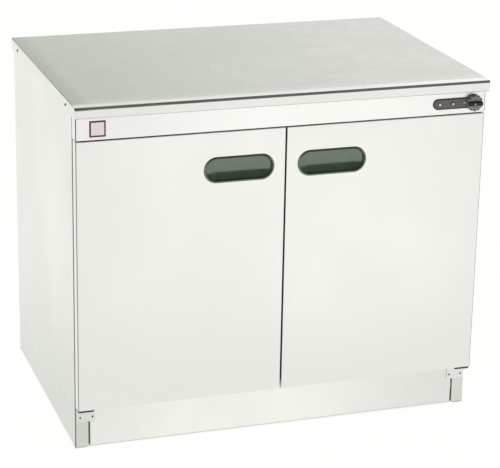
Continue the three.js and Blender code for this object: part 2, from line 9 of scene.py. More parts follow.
import bmesh
import bpy
from mathutils import Matrix, Vector, noise
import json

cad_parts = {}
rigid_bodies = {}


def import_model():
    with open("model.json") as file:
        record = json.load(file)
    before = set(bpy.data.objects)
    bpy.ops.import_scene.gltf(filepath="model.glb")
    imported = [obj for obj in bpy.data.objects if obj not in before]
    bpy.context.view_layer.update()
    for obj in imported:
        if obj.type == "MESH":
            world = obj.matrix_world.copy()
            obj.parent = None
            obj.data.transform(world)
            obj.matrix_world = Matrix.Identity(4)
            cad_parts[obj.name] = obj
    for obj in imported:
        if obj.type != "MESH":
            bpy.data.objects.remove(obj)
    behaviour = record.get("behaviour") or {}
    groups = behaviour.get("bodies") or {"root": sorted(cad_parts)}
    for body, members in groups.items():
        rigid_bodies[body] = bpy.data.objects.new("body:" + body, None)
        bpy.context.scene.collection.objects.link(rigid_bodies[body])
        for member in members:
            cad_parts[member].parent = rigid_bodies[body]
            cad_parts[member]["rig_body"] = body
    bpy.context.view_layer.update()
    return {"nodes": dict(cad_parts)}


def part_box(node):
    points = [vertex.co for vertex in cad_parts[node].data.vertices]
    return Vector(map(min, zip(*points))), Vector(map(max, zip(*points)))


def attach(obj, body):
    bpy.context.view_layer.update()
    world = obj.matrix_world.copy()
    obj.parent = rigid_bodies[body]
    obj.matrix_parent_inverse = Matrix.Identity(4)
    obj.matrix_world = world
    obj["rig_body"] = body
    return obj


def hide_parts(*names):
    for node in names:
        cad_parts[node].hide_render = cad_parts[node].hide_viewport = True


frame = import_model()
noise.seed_set(7)  # the wool's skin is the same in each run

MM = 0.001
SHEET = 1.5 * MM  # casing steel
BEND = 2.5 * MM  # outer radius of its folds
SIDES = {"left": -1, "right": 1}  # the way each side is in x

X, Y, Z = Vector((1, 0, 0)), Vector((0, 1, 0)), Vector((0, 0, 1))
FACES = {"-x": -X, "+x": X, "-y": -Y, "+y": Y, "-z": -Z, "+z": Z}


def mm(*lengths):
    """Several lengths in millimetres at once."""
    return [length * MM for length in lengths]


# Where the local axes of a layered or turned piece point: u, v and the direction its levels rise.
UP = (X, Y, Z)
DOWN = (X, -Y, -Z)
FRONT = (X, Z, -Y)
BACK = (-X, Z, Y)
OUTWARD = {"left": (-Y, Z, -X), "right": (Y, Z, X)}
INWARD = {"left": OUTWARD["right"], "right": OUTWARD["left"]}

# The same for a folded sheet: its outline lies in the first two, and it is long in the third.
ALONG_X = (Y, Z, X)
ALONG_Y = (Z, X, Y)


# ---------- camera, floor and light


def add_camera():
    """A long lens from the front left and above, with a small shift."""
    heading, dip, roll = 0.324, 0.321, 0.019
    data = bpy.data.cameras.new("camera")
    data.sensor_width, data.lens = 36, 137.5
    data.shift_y = -0.048
    data.clip_start, data.clip_end = 0.1, 100
    camera = bpy.data.objects.new("camera", data)
    aim = Matrix.Rotation(-heading, 4, "Z") @ Matrix.Rotation(math.pi / 2 - dip, 4, "X")
    camera.matrix_world = aim @ Matrix.Rotation(roll, 4, "Z")
    camera.location = (-1.5148, -4.5987, 2.0920)
    bpy.context.scene.collection.objects.link(camera)
    bpy.context.scene.camera = camera
    bpy.context.scene.view_settings.view_transform = "Standard"


def triple(value):
    """Red, green and blue, from three numbers or from one for all."""
    return tuple(value) if hasattr(value, "__len__") else (value,) * 3


class Graph:
    """A short way to write shader nodes: each call makes one node and returns its first output."""

    def __init__(self, tree):
        self.tree = tree

    def node(self, kind, inputs=(), **settings):
        """Returns the node itself."""
        made = self.tree.nodes.new("ShaderNode" + kind)
        for key, value in settings.items():
            setattr(made, key, value)
        for key, value in dict(inputs).items():
            if isinstance(value, bpy.types.NodeSocket):
                self.tree.links.new(value, made.inputs[key])
            else:
                made.inputs[key].default_value = value
        return made

    def feed(self, target, **outputs):
        """Links outputs to a node's inputs of these names."""
        for key, output in outputs.items():
            self.tree.links.new(output, target.inputs[key.replace("_", " ")])

    def math(self, operation, *values):
        return self.node("Math", enumerate(values), operation=operation).outputs[0]

    def spread(self, value, low, high, to_low=0, to_high=1, smooth=True):
        """Maps the range low to high to another."""
        made = self.node("MapRange", {0: value, 1: low, 2: high, 3: to_low, 4: to_high})
        made.interpolation_type = "SMOOTHSTEP" if smooth else "LINEAR"
        return made.outputs[0]

    def ramp(self, value, stops):
        made = self.node("ValToRGB", {0: value})
        band = made.color_ramp
        while len(band.elements) < len(stops):
            band.elements.new(0.5)
        for element, (position, shade) in zip(band.elements, stops):
            element.position = position
            element.color = (*triple(shade), 1)
        return made.outputs[0]

    def noise(self, where, scale, detail=2.0, roughness=0.5):
        inputs = {"Vector": where, "Scale": scale, "Detail": detail, "Roughness": roughness}
        return self.node("TexNoise", inputs).outputs["Fac"]

    def stretched(self, where, scale):
        return self.node("Mapping", {"Vector": where, "Scale": scale}).outputs[0]

    def bump(self, height, strength, distance):
        return self.node("Bump", {"Strength": strength, "Distance": distance, "Height": height}).outputs[0]

    def mix(self, share, first, second, blend_type="MIX"):
        """Each colour is an output, or red, green and blue."""
        inputs = {0: share}
        for key, colour in ((6, first), (7, second)):
            inputs[key] = colour if isinstance(colour, bpy.types.NodeSocket) else (*colour, 1)
        return self.node("Mix", inputs, data_type="RGBA", blend_type=blend_type).outputs[2]


def add_world():
    """Pale at the horizon and dark overhead, darker in front and lighter at the right."""
    world = bpy.data.worlds.new("studio")
    bpy.context.scene.world = world
    world.use_nodes = True
    graph = Graph(world.node_tree)
    parts = graph.node("SeparateXYZ", {0: graph.node("TexCoord").outputs["Generated"]}).outputs
    climb = graph.spread(parts[2], -0.1, 1.0, smooth=False)
    overhead = [(0.955, 0.11), (0.985, 0.60), (1.0, 0.70)]
    behind = graph.ramp(climb, [(0.0, 1.0), (0.24, 1.0), (0.31, 0.66), (0.38, 0.68), (0.46, 0.98),
                                (0.54, 0.92), (0.62, 0.14), *overhead])
    in_front = graph.ramp(climb, [(0.0, 1.0), (0.24, 0.98), (0.36, 0.14), *overhead])
    height = graph.mix(graph.spread(parts[1], -0.3, 0.2), in_front, behind)
    across = graph.mix(graph.spread(parts[0], 0.14, 0.46), (0.80, 0.86, 0.77), (1.20, 1.18, 1.15))
    tint = graph.mix(graph.spread(parts[2], 0.14, 0.24), (1.0, 1.0, 0.98), across)
    background = world.node_tree.nodes["Background"]
    graph.feed(background, Color=graph.mix(1, height, tint, "MULTIPLY"))
    background.inputs["Strength"].default_value = 1.0


def add_floor():
    """A pale floor, mostly self-lit, with a painted shadow under and close to the cabinet."""
    half_width, glow, least_glow = 40, 0.935, 0.1
    bm = bmesh.new()
    bmesh.ops.create_grid(bm, x_segments=1, y_segments=1, size=half_width)
    material, graph, shader, where = surface(
        "floor", Base_Color=(0.25, 0.25, 0.245, 1), Roughness=0.9, Specular_IOR_Level=0.0,
        Emission_Color=(1.0, 1.0, 0.98, 1))
    build("floor", bm, material)
    lo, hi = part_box("side_panel_left")[0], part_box("side_panel_right")[1]
    centre, half = (lo + hi) / 2, (hi - lo) / 2
    place = graph.node("SeparateXYZ", {0: where}).outputs
    from_middle = [graph.math("ABSOLUTE", graph.math("SUBTRACT", place[i], centre[i])) for i in range(2)]
    outside = [graph.math("SUBTRACT", from_middle[i], half[i]) for i in range(2)]
    # Painted shadow under and round the cabinet's footprint.
    painted_shadow = graph.spread(graph.math("MAXIMUM", *outside), -0.03, 0.006, least_glow, 1)
    graph.feed(shader, Emission_Strength=graph.math("MULTIPLY", painted_shadow, glow))


def add_key_light():
    """A soft box that isn't mirrored in the steel."""
    place, aim = Vector((-2.6, -3.4, 3.6)), Vector((0, 0, 0.5))
    data = bpy.data.lights.new("key", "AREA")
    data.shape, data.size, data.energy = "DISK", 2.4, 25
    key = bpy.data.objects.new("key", data)
    key.location = place
    key.rotation_euler = (aim - place).to_track_quat("-Z", "Y").to_euler()
    key.visible_glossy = False
    bpy.context.scene.collection.objects.link(key)


# ---------- materials


def surface(name, **sockets):
    """A material with these fixed shader values, its graph, its shader and its object coordinates."""
    material = bpy.data.materials.new(name)
    material.use_nodes = True
    shader = material.node_tree.nodes["Principled BSDF"]
    for key, value in sockets.items():
        shader.inputs[key.replace("_", " ")].default_value = value
    graph = Graph(material.node_tree)
    return material, graph, shader, graph.node("TexCoord").outputs["Object"]


def tinted(colour, factor, balance=1.0):
    return [min(1.0, c * factor * b) for c, b in zip(colour, triple(balance))]


def steel(name, colour, grain="x", roughness=0.34, brush=1.0, cloud=0.05, mottle=0.0, smudge=0.05, painted_light=()):
    """Brushed sheet: fine lines along the grain axis, slow clouds in tone and faint handling marks.

    brush, cloud, mottle and smudge are their strengths. Each fade paints light or shade: where it
    is, and what it multiplies the colour by.
    """
    material, graph, shader, where = surface(name, Metallic=1.0)
    across_grain, along_grain = 900.0, 9.0
    scale = [along_grain if axis == grain else across_grain for axis in "xyz"]
    fine = graph.noise(graph.stretched(where, scale), 1.0, 3.0, 0.6)
    slow = graph.noise(where, 2.2, 3.0)
    marks = graph.noise(where, 17.0, 4.0, 0.65)
    pale = tinted(colour, 1 + cloud / 2, (1.006, 1.0, 1.004))
    dull = tinted(colour, 1 - cloud, (0.992, 1.0, 0.992))
    tone = graph.mix(graph.spread(slow, 0.35, 0.65), dull, pale)
    tone = graph.mix(graph.spread(fine, 0.35, 0.75, 0, 0.13 * brush), tone, tinted(colour, 0.94))
    if mottle:
        tone = graph.mix(graph.spread(marks, 0.3, 0.7, 0, mottle), tone, tinted(colour, 0.88))
    place = graph.node("SeparateXYZ", {0: where}).outputs if painted_light else None
    # Painted light and shade, one fade at a time.
    for share_at, factors in painted_light:
        tone = graph.mix(share_at(graph, place), tone, tinted(colour, 1, factors))
    swing = 0.05 * brush
    rough = graph.math("ADD", graph.spread(fine, 0.3, 0.7, roughness - swing, roughness + swing),
                       graph.spread(marks, 0.52, 0.72, 0, smudge))
    relief = graph.bump(fine, 0.15 * brush, 0.02 * MM)
    graph.feed(shader, Base_Color=tone, Roughness=rough, Normal=relief)
    return material


def painted_pool_of_light(x, z, reach):
    """A fade that grows away from a place on the front, slower sideways than in height. Darkening with it
    paints a pool of light round that place.
    """
    sideways, start = 0.6, 0.05

    def share(graph, place):
        aside = graph.math("MULTIPLY", graph.math("SUBTRACT", place[0], x), sideways)
        over = graph.math("SUBTRACT", place[2], z)
        squares = [graph.math("MULTIPLY", value, value) for value in (aside, over)]
        return graph.spread(graph.math("SQRT", graph.math("ADD", *squares)), start, reach)

    return share


def shade_towards_floor(below, lean):
    """A fade towards the floor that starts higher up at the front, used to paint shade on the sides."""
    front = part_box("side_panel_left")[0].y

    def share(graph, place):
        lift = graph.math("MULTIPLY", graph.math("SUBTRACT", place[1], front), lean)
        return graph.spread(graph.math("ADD", place[2], lift), 0, below, 1, 0)

    return share


def along(axis, start, end):
    """A fade that grows from one level of an axis to another. The steels use it to paint shade and
    highlights across a face.
    """
    return lambda graph, place: graph.spread(place[axis], start, end)


def moulded(name, colour, roughness, speckle=0.12, depth=0.05, **sockets):
    """Plastic or ceramic: a fine pebbled skin with slow changes in tone and gloss."""
    material, graph, shader, where = surface(name, **sockets)
    pebble = graph.noise(where, 2600.0)
    slow = graph.noise(where, 35.0, 3.0)
    tone = graph.mix(graph.spread(slow, 0.3, 0.7), tinted(colour, 1 - speckle), tinted(colour, 1 + speckle))
    rough = graph.spread(slow, 0.3, 0.7, roughness - 0.05, roughness + 0.07)
    graph.feed(shader, Base_Color=tone, Roughness=rough, Normal=graph.bump(pebble, 0.2, depth * MM))
    return material


def wool(name):
    """Mineral wool: tangled fibres in straw and brown."""
    material, graph, shader, where = surface(name, Sheen_Weight=0.3)
    fibre = graph.noise(graph.stretched(where, (90, 90, 420)), 1.0, 5.0, 0.7)
    clump = graph.noise(where, 24.0, 4.0)
    tangle = graph.math("ADD", graph.math("MULTIPLY", fibre, 0.6), graph.math("MULTIPLY", clump, 0.4))
    tone = graph.ramp(tangle, [(0.35, (0.30, 0.22, 0.11)), (0.5, (0.55, 0.46, 0.26)),
                               (0.65, (0.72, 0.64, 0.42))])
    rough = graph.spread(fibre, 0.3, 0.7, 0.85, 1.0)
    graph.feed(shader, Base_Color=tone, Roughness=rough, Normal=graph.bump(fibre, 0.8, 2 * MM))
    return material


# The casing, door, fascia, plinth, side and worktop steels are one steel. Their base tones differ to paint
# how brightly each face is lit: lit and shaded copies of one material.
CASING = steel("casing_steel", (0.855, 0.86, 0.825), "z", 0.30)
# Painted shade: darker towards the left end.
CASING_X = steel("casing_steel_level_grain", (0.86, 0.865, 0.83), roughness=0.30, cloud=0.03,
                 painted_light=[(along(0, 0.05, -0.45), 0.93)])
# Painted pool of light round a place high on the front near the middle, darker away from it.
DOOR = steel("door_steel", (0.950, 0.944, 0.917), "z", 0.30, brush=0.4,
             painted_light=[(painted_pool_of_light(0.10, 0.64, 0.58), 0.845)])
# Dark copy of the door steel: painted shade along the doors' folds.
DOOR_EDGE_SHADE = steel("door_fold_painted_shade", (0.30, 0.33, 0.30), "z")
# Brighter copy of the steel with a painted pool of light on the fascia, darker away from its middle.
FASCIA = steel("fascia_steel", (1.0, 0.985, 0.965), roughness=0.30, cloud=0.03,
               painted_light=[(painted_pool_of_light(0.10, 0.84, 0.34), (0.87, 0.865, 0.865))])
# Painted pool of light on the plinth, darker towards its ends.
PLINTH = steel("plinth_steel", (0.88, 0.885, 0.845), roughness=0.30, brush=0.6,
               painted_light=[(painted_pool_of_light(-0.12, 0.05, 0.40), (0.84, 0.84, 0.85))])
PLATE = steel("hinge_plate_steel", (0.74, 0.76, 0.72))
# Painted shade on the side panels, darker towards the floor.
SIDE = steel("side_panel_steel", (0.83, 0.84, 0.80), "z", 0.30, brush=0.6,
             painted_light=[(shade_towards_floor(0.52, 0.2), (0.74, 0.775, 0.76))])
# Darker copy of the side steel for the front flange: painted shade.
POST_SHADED = steel("front_post_steel_painted_shade", (0.66, 0.69, 0.645), "z")
# Dark copies of the casing steel for the bends, on this line and the next: painted shade along the folds.
FOLD = steel("casing_steel_fold_painted_shade", (0.14, 0.16, 0.14), "z")
FOLD_X = steel("casing_steel_level_fold_painted_shade", (0.55, 0.55, 0.53))
# Painted light and shade on the worktop: darker towards the left, a painted highlight along the front, and
# darker again at the far left edge.
TOP = steel("worktop_steel", (0.83, 0.86, 0.82), roughness=0.20, brush=1.8, cloud=0.07, mottle=0.5,
            painted_light=[(along(0, 0.15, -0.5), 0.91), (along(1, -0.29, -0.36), (1.03, 1.02, 1.03)),
                   (along(0, -0.48, -0.525), (0.76, 0.77, 0.76))])
# Bright copy of the worktop steel for the slight fall at the front: a painted highlight.
TOP_EDGE_HIGHLIGHT = steel("worktop_edge_painted_highlight", (0.98, 0.99, 0.98), roughness=0.20, cloud=0.03)
# Dark copy of the steel for the nosing's lower rounding and the top's side roundings: painted shade.
HEM_SHADE = steel("worktop_hem_painted_shade", (0.44, 0.41, 0.40))
LINER = steel("liner_steel", (0.86, 0.865, 0.84), roughness=0.36, cloud=0.10, smudge=0.1)
ZINC = steel("zinc_plate", (0.66, 0.68, 0.66), cloud=0.12, smudge=0.12)
DARK_STEEL = steel("screw_steel", (0.20, 0.21, 0.20), roughness=0.42, cloud=0.10)
SHEATH = steel("element_sheath", (0.20, 0.17, 0.15), roughness=0.50, cloud=0.35, smudge=0.15)
GREEN = moulded("handle_plastic", (0.050, 0.064, 0.047), 0.24, speckle=0.05, depth=0.02,
                IOR=2.3, Specular_Tint=(0.80, 1.0, 0.83, 1))
CHARCOAL = moulded("control_plastic", (0.042, 0.038, 0.037), 0.42, speckle=0.10)
GRIP = moulded("knob_grip", (0.028, 0.025, 0.025), 0.50, speckle=0.10, IOR=1.4)
KNOB_GREY = moulded("knob_skirt", (0.21, 0.205, 0.195), 0.45)
# Pale grey for the spot on the knob's grip: a painted highlight.
SPOT_HIGHLIGHT = moulded("knob_painted_highlight", (0.30, 0.27, 0.31), 0.35, speckle=0.06)
GREY_PLASTIC = moulded("control_face", (0.138, 0.125, 0.120), 0.48, speckle=0.10)
NYLON = moulded("foot_nylon", (0.62, 0.63, 0.60), 0.55)
BLACK_NYLON = moulded("dark_nylon", (0.035, 0.038, 0.035), 0.50)
CERAMIC = moulded("insulating_ceramic", (0.70, 0.67, 0.60), 0.40)
PRINT = moulded("print_white", (0.78, 0.77, 0.76), 0.45, speckle=0.03)
MAROON = moulded("badge_border", (0.075, 0.048, 0.052), 0.30, speckle=0.06)
PINK = moulded("badge_enamel", (0.84, 0.74, 0.745), 0.34, speckle=0.04, Metallic=0.7)
WOOL = wool("mineral_wool")
CLEAR = moulded("clear_lens", (0.93, 0.92, 0.90), 0.10, speckle=0.02, depth=0.0,
                Coat_Weight=0.6, Emission_Color=(1, 0.97, 0.94, 1), Emission_Strength=0.25)
RED = moulded("red_lens", (0.12, 0.055, 0.055), 0.12, speckle=0.05, depth=0.0, Coat_Weight=0.6)


# ---------- mesh makers


def turn_to(bm, axes, origin=(0, 0, 0)):
    """Turns a body made along local u, v and level to these axes, and moves it to origin."""
    bm.transform(Matrix(axes).transposed().to_4x4())
    bmesh.ops.translate(bm, vec=origin, verts=bm.verts)
    return bm


def extent(node):
    """The lowest and highest corners of a frame node's box, its middle and its size."""
    lo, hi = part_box(node)
    return lo, hi, (lo + hi) / 2, hi - lo


def seated(bm, node, axes):
    """Turns a body to these axes and sets its base on the side of the node's box that they start from."""
    _, _, middle, size = extent(node)
    return turn_to(bm, axes, middle - axes[2] * abs(size.dot(axes[2])) / 2)


def joined(bodies):
    """Several bodies as one."""
    whole = bmesh.new()
    for bm in bodies:
        mesh = bpy.data.meshes.new("part")
        bm.to_mesh(mesh)
        bm.free()
        whole.from_mesh(mesh)
        bpy.data.meshes.remove(mesh)
    return whole


def bridge(bm, low, high, material=0):
    """Faces between two closed loops, of which one may be a single point."""
    count = max(len(low), len(high))
    for i in range(count):
        j = (i + 1) % count
        corners = [low[i % len(low)], low[j % len(low)], high[j % len(high)], high[i % len(high)]]
        bm.faces.new(list(dict.fromkeys(corners))).material_index = material


def rounded_ring(width, height, radius, steps):
    """Points round a rectangle whose corners are arcs of this many steps."""
    radius = min(radius, width / 2, height / 2)
    points = []
    for turn, (a, b) in enumerate(((1, 1), (-1, 1), (-1, -1), (1, -1))):
        for i in range(steps + 1):
            angle = (turn + i / steps) * math.pi / 2
            points.append((a * (width / 2 - radius) + radius * math.cos(angle),
                           b * (height / 2 - radius) + radius * math.sin(angle)))
    return points


def layered(rings, steps=6, bands=None, open_below=False):
    """A closed body through level rounded rectangles (width, height, corner radius, level).

    bands gives the material number of each side band and then of the upper cap.
    """
    bm = bmesh.new()
    bands = bands or [0] * len(rings)
    loops = [
        [bm.verts.new((u, v, level)) for u, v in rounded_ring(width, height, radius, steps)]
        for width, height, radius, level in rings
    ]
    for low, high, band in zip(loops, loops[1:], bands):
        bridge(bm, low, high, band)
    bm.faces.new(loops[-1]).material_index = bands[-1]
    if not open_below:
        bm.faces.new(loops[0][::-1])
    bmesh.ops.remove_doubles(bm, verts=bm.verts, dist=1e-6)
    return bm


def terraced(width, height, corner, outline):
    """Rings for a layered body. The outline says how far inwards and at what level each one is."""
    return [(width - 2 * inset, height - 2 * inset, corner, level) for inset, level in outline]


def prism(width, height, corner, low, high, steps=6):
    """A straight body on a rounded rectangle, from one level to another."""
    return layered([(width, height, corner, low), (width, height, corner, high)], steps)


def turned(profile, sides=32, flutes=0, flute_depth=0.0, closed=False):
    """A body turned about the level axis. A profile point is (radius, level) and its share of the flutes."""
    bm = bmesh.new()
    loops = []
    for radius, level, *share in profile:
        loop = []
        for angle in (math.tau * i / sides for i in range(sides if radius else 1)):
            reach = radius - flute_depth * sum(share) * (1 - math.cos(flutes * angle)) / 2
            loop.append(bm.verts.new((reach * math.cos(angle), reach * math.sin(angle), level)))
        loops.append(loop)
    for low, high in zip(loops, loops[1:] + loops[:1] if closed else loops[1:]):
        bridge(bm, low, high)
    return bm


def drill(radius, reach, sides=32):
    """A cylinder to cut a hole with, as long below its origin as above it."""
    return turned([(0, -reach), (radius, -reach), (radius, reach), (0, reach)], sides)


def bent_path(points, radius, steps=5):
    """An open path whose corners are arcs, as samples of (point, left normal, whether a bend follows)."""
    points = [Vector(p) for p in points]
    samples = []
    for i, point in enumerate(points):
        before = (point - points[i - 1]).normalized() if i else None
        after = (points[i + 1] - point).normalized() if i + 1 < len(points) else None
        if before is None or after is None:
            ahead = after or before
            samples.append((point, Vector((-ahead.y, ahead.x)), False))
            continue
        turn = -before.angle_signed(after)
        start = point - before * radius * math.tan(abs(turn) / 2)
        side = math.copysign(1, turn)
        centre = start + Vector((-before.y, before.x)) * radius * side
        for k in range(steps + 1):
            spoke = Matrix.Rotation(turn * k / steps, 2) @ (start - centre)
            samples.append((centre + spoke, -side * spoke.normalized(), k < steps))
    return samples


def folded(points, span, axes, thick=SHEET, bend=BEND):
    """A folded sheet: its middle line runs through points in (u, v), and it is as long as span.

    Its bends get material number 1.
    """
    bm = bmesh.new()
    rows = []
    for point, normal, bends in bent_path(points, bend - thick / 2):
        faces = [point + normal * thick / 2, point - normal * thick / 2]
        rows.append(([bm.verts.new((*spot, level)) for spot in faces for level in span], bends))
    for (a, bends), (b, _) in zip(rows, rows[1:]):
        for i, j in ((0, 1), (3, 2), (2, 0), (1, 3)):
            bm.faces.new((a[i], b[i], b[j], a[j])).material_index = int(bends)
    for row, _ in (rows[0], rows[-1]):
        bm.faces.new((row[0], row[1], row[3], row[2]))
    return turn_to(bm, axes)


def shave(bm, place, normal):
    """Cuts off what lies beyond the plane through place, and closes the cut."""
    everything = [*bm.verts, *bm.edges, *bm.faces]
    bmesh.ops.bisect_plane(bm, geom=everything, dist=1e-7, plane_co=place, plane_no=normal, clear_outer=True)
    bmesh.ops.edgeloop_fill(bm, edges=[e for e in bm.edges if e.is_boundary])


def block(lo, hi):
    """A plain box between two corners."""
    bm = bmesh.new()
    bmesh.ops.create_cube(bm, size=1)
    bmesh.ops.scale(bm, vec=hi - lo, verts=bm.verts)
    bmesh.ops.translate(bm, vec=(lo + hi) / 2, verts=bm.verts)
    return bm


def rounded_box(lo, hi, rounds, steps=6):
    """A box with some edges rounded: rounds maps pairs of its sides, such as -y+z, to a radius.

    Its upright rounded edges get material number 1.
    """
    bm = block(lo, hi)
    for pair, radius in rounds.items():
        first, second = FACES[pair[:2]], FACES[pair[2:]]
        edge = (lo + hi) / 2 + Vector(a * b / 2 for a, b in zip(hi - lo, first + second))
        centre = edge - (first + second) * radius
        for k in range(1, steps):
            angle = math.pi / 2 * k / steps
            normal = first * math.cos(angle) + second * math.sin(angle)
            shave(bm, centre + normal * radius, normal)
    bmesh.ops.recalc_face_normals(bm, faces=bm.faces)
    for face in bm.faces:
        upright = abs(face.normal.z) < 0.1
        face.material_index = int(upright and max(map(abs, face.normal)) < 0.9999)
    return bm


def opened(bm, *sides):
    """Takes away the flat faces that look towards these sides."""
    gone = [f for f in bm.faces if any(f.normal.dot(FACES[side]) > 0.9999 for side in sides)]
    bmesh.ops.delete(bm, geom=gone, context="FACES")
    return bm


def bar(points, radius, sides=16):
    """A round bar along a path of points."""
    bm = bmesh.new()
    points = [Vector(p) for p in points]
    across = (points[1] - points[0]).orthogonal().normalized()
    loops = []
    for i, point in enumerate(points):
        ahead = (points[min(i + 1, len(points) - 1)] - points[max(i - 1, 0)]).normalized()
        across = (across - ahead * across.dot(ahead)).normalized()
        other = ahead.cross(across)
        loop = []
        for angle in (math.tau * k / sides for k in range(sides)):
            spoke = across * math.cos(angle) + other * math.sin(angle)
            loop.append(bm.verts.new(point + spoke * radius))
        loops.append(loop)
    for low, high in zip(loops, loops[1:]):
        bridge(bm, low, high)
    bm.faces.new(loops[0][::-1])
    bm.faces.new(loops[-1])
    return bm


# ---------- objects


def build(name, bm, *materials):
    """A new object from a body, with these materials."""
    bmesh.ops.recalc_face_normals(bm, faces=bm.faces)
    mesh = bpy.data.meshes.new(name)
    bm.to_mesh(mesh)
    bm.free()
    made = bpy.data.objects.new(name, mesh)
    for material in materials:
        mesh.materials.append(material)
    bpy.context.scene.collection.objects.link(made)
    return made


def apply_last(made):
    """Makes the object's modifiers part of its mesh."""
    graph = bpy.context.evaluated_depsgraph_get()
    mesh = bpy.data.meshes.new_from_object(made.evaluated_get(graph))
    made.modifiers.clear()
    old, made.data = made.data, mesh
    bpy.data.meshes.remove(old)
    mesh.name = made.name
    return made


def paint(made, number, chosen):
    """Gives the faces whose normals are chosen another of the object's materials."""
    for face in made.data.polygons:
        if chosen(face.normal):
            face.material_index = number


def thicken(made, thick=SHEET):
    """Gives an open shell its wall, on the side away from its normals."""
    shell = made.modifiers.new("wall", "SOLIDIFY")
    shell.thickness, shell.offset = thick, -1
    shell.use_even_offset = shell.use_quality_normals = True
    return apply_last(made)


def pierce(made, cutter):
    """Cuts holes of the cutter's shape."""
    tool = build("tool", cutter)
    hole = made.modifiers.new("holes", "BOOLEAN")
    hole.object, hole.operation, hole.solver = tool, "DIFFERENCE", "EXACT"
    apply_last(made)
    bpy.data.objects.remove(tool)
    return made


def finish(made, body, crease=38):
    """Smooths the shading between creases and fixes the piece to its body."""
    for face in made.data.polygons:
        face.use_smooth = True
    made.data.set_sharp_from_angle(angle=math.radians(crease))
    normals = made.modifiers.new("normals", "WEIGHTED_NORMAL")
    normals.keep_sharp = True
    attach(made, body)


def stand_for(made, node, crease=38):
    """The piece takes the place and the body of this frame node."""
    finish(made, frame["nodes"][node]["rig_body"], crease)
    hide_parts(node)


def install(node, kind, bm, axes, *materials, crease=38):
    """Seats a body in a frame node's box, as the piece that stands for the node."""
    stand_for(build(f"{node}_{kind}", seated(bm, node, axes), *materials), node, crease)


def build_folded(node, kind, path, span, axes, sheet, folds=None, **shape):
    """A folded sheet. Its bends may have a material of their own, a dark one that paints shade along the
    folds.
    """
    return build(f"{node}_{kind}", folded(path, span, axes, **shape), sheet, folds or sheet)


def fold_for(node, *sheet, **shape):
    """A folded sheet that stands for a frame node as it is."""
    stand_for(build_folded(node, *sheet, **shape), node)


def screw_head(radius):
    """The mesh of a pan head on the level axis, with a cross recess and a short shank."""
    shank, length, recess = 0.5 * radius, 2.5 * radius, (1.1 * radius, 0.26 * radius)
    profile = [(0, -length), (shank, -length), (shank, 0), (radius, 0), (radius, 0.25 * radius),
               (0.9 * radius, 0.45 * radius), (0.62 * radius, 0.6 * radius), (0, 0.66 * radius)]
    head = build("head", turned(profile, 20))
    for width, height in (recess, recess[::-1]):
        pierce(head, prism(width, height, 0, 0.2 * radius, radius))
    mesh = head.data
    bpy.data.objects.remove(head)
    return mesh


HEADS = {}  # one mesh for each radius


def screws(name, places, axes, radius=3.4 * MM, material=ZINC, body="cabinet"):
    """Cross-head screws, one at each place, as one piece."""
    first_turn, next_turn = 0.7, 1.9
    if radius not in HEADS:
        HEADS[radius] = screw_head(radius)
    group = []
    for number, place in enumerate(places):
        bm = bmesh.new()
        bm.from_mesh(HEADS[radius])
        bm.transform(Matrix.Rotation(first_turn + next_turn * number, 4, "Z"))
        group.append(turn_to(bm, axes, place))
    finish(build(name, joined(group), material), body)


def outer_inner(side, node):
    """The x of a node's sides, the one further from the cabinet's middle first."""
    lo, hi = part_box(node)
    return (lo.x, hi.x) if side == "left" else (hi.x, lo.x)


# ---------- casing

SCREW_Z = 884 * MM  # screws through the worktop's lips


def channel(node, lip_y, sheet, folds):
    """A sheet in the XZ plane with its upper and lower edges folded towards lip_y."""
    lo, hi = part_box(node)
    face = hi.y - SHEET / 2 if lip_y < (lo.y + hi.y) / 2 else lo.y + SHEET / 2
    low, high = lo.z + SHEET / 2, hi.z - SHEET / 2
    path = [(lip_y, low), (face, low), (face, high), (lip_y, high)]
    return build_folded(node, "sheet", path, (lo.x, hi.x), ALONG_X, sheet, folds)


def side_panel(side):
    """A panel with a narrow rear flange and a front flange that is the cabinet's corner post."""
    node, sign, rear_flange = f"side_panel_{side}", SIDES[side], 25 * MM
    lo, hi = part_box(node)
    outer, inner = outer_inner(side, node)
    outer -= sign * SHEET / 2
    rear_inner = outer - sign * (rear_flange - SHEET / 2)
    front, back = lo.y + SHEET / 2, hi.y - SHEET / 2
    path = [(inner, front), (outer, front), (outer, back), (rear_inner, back)]
    panel = build_folded(node, "sheet", path, (lo.z, hi.z), UP, SIDE, FOLD, bend=5 * MM)
    # The front flange's faces take the darker steel: painted shade.
    panel.data.materials.append(POST_SHADED)
    paint(panel, 2, lambda normal: normal.y < -0.8)
    stand_for(panel, node)
    lip = outer_inner(side, "worktop")[0]
    places = [(lip, y, SCREW_Z) for y in mm(-282, 280)]
    screws(f"worktop_screws_{side}", places, OUTWARD[side], material=DARK_STEEL)


